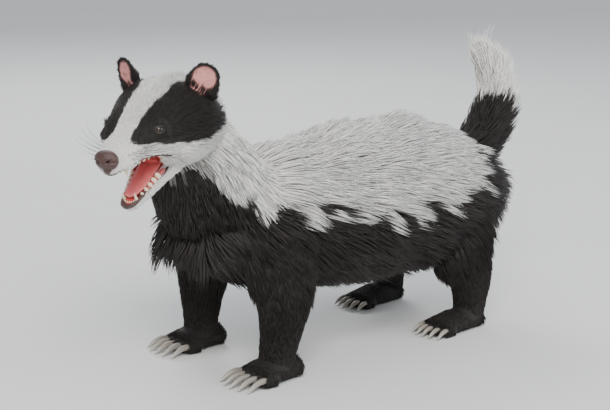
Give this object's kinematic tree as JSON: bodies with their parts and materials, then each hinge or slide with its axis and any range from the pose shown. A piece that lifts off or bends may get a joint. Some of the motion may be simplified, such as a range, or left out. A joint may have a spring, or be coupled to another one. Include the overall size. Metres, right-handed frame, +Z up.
{
  "type": "european badger",
  "caption": "Life-size European badger, standing on four feet with its head raised and turned, mouth open and tail carried up; pale mantle over a black underside.",
  "frame": {"origin": "on the floor, under the centre of the model's bounding box", "axes": "+X from the nose towards the tail along the body, +Y towards the badger's right, +Z up"},
  "size_m": [0.7669, 0.2666, 0.4167],
  "materials": {
    "coat_pale": "long coarse hair, off white",
    "coat_mantle": "long coarse hair, silvery white with darker bands near the tips",
    "coat_dark": "coarse hair, brownish black",
    "nose_leather": "moist, finely pebbled, dark brown",
    "mouth_flesh": "moist flesh, pink to red",
    "tooth_enamel": "smooth, ivory",
    "claw_horn": "grey horn, worn paler at the tips",
    "eye_glass": "wet, very dark brown"
  },
  "bodies": {
    "root": {"torso": "coat_mantle", "neck": "coat_pale", "head": "coat_pale", "lower_jaw": "coat_pale", "tongue": "mouth_flesh", "nose": "nose_leather", "eye_left": "eye_glass", "eye_right": "eye_glass", "ear_left": "coat_dark", "ear_right": "coat_dark", "tail": "coat_pale", "foreleg_left": "coat_dark", "forepaw_left": "coat_dark", "foreclaw_left_1": "claw_horn", "foreclaw_left_2": "claw_horn", "foreclaw_left_3": "claw_horn", "foreclaw_left_4": "claw_horn", "foreclaw_left_5": "claw_horn", "foreleg_right": "coat_dark", "forepaw_right": "coat_dark", "foreclaw_right_1": "claw_horn", "foreclaw_right_2": "claw_horn", "foreclaw_right_3": "claw_horn", "foreclaw_right_4": "claw_horn", "foreclaw_right_5": "claw_horn", "hindleg_left": "coat_dark", "hindpaw_left": "coat_dark", "hindclaw_left_1": "claw_horn", "hindclaw_left_2": "claw_horn", "hindclaw_left_3": "claw_horn", "hindclaw_left_4": "claw_horn", "hindclaw_left_5": "claw_horn", "hindleg_right": "coat_dark", "hindpaw_right": "coat_dark", "hindclaw_right_1": "claw_horn", "hindclaw_right_2": "claw_horn", "hindclaw_right_3": "claw_horn", "hindclaw_right_4": "claw_horn", "hindclaw_right_5": "claw_horn"}
  },
  "joints": []
}
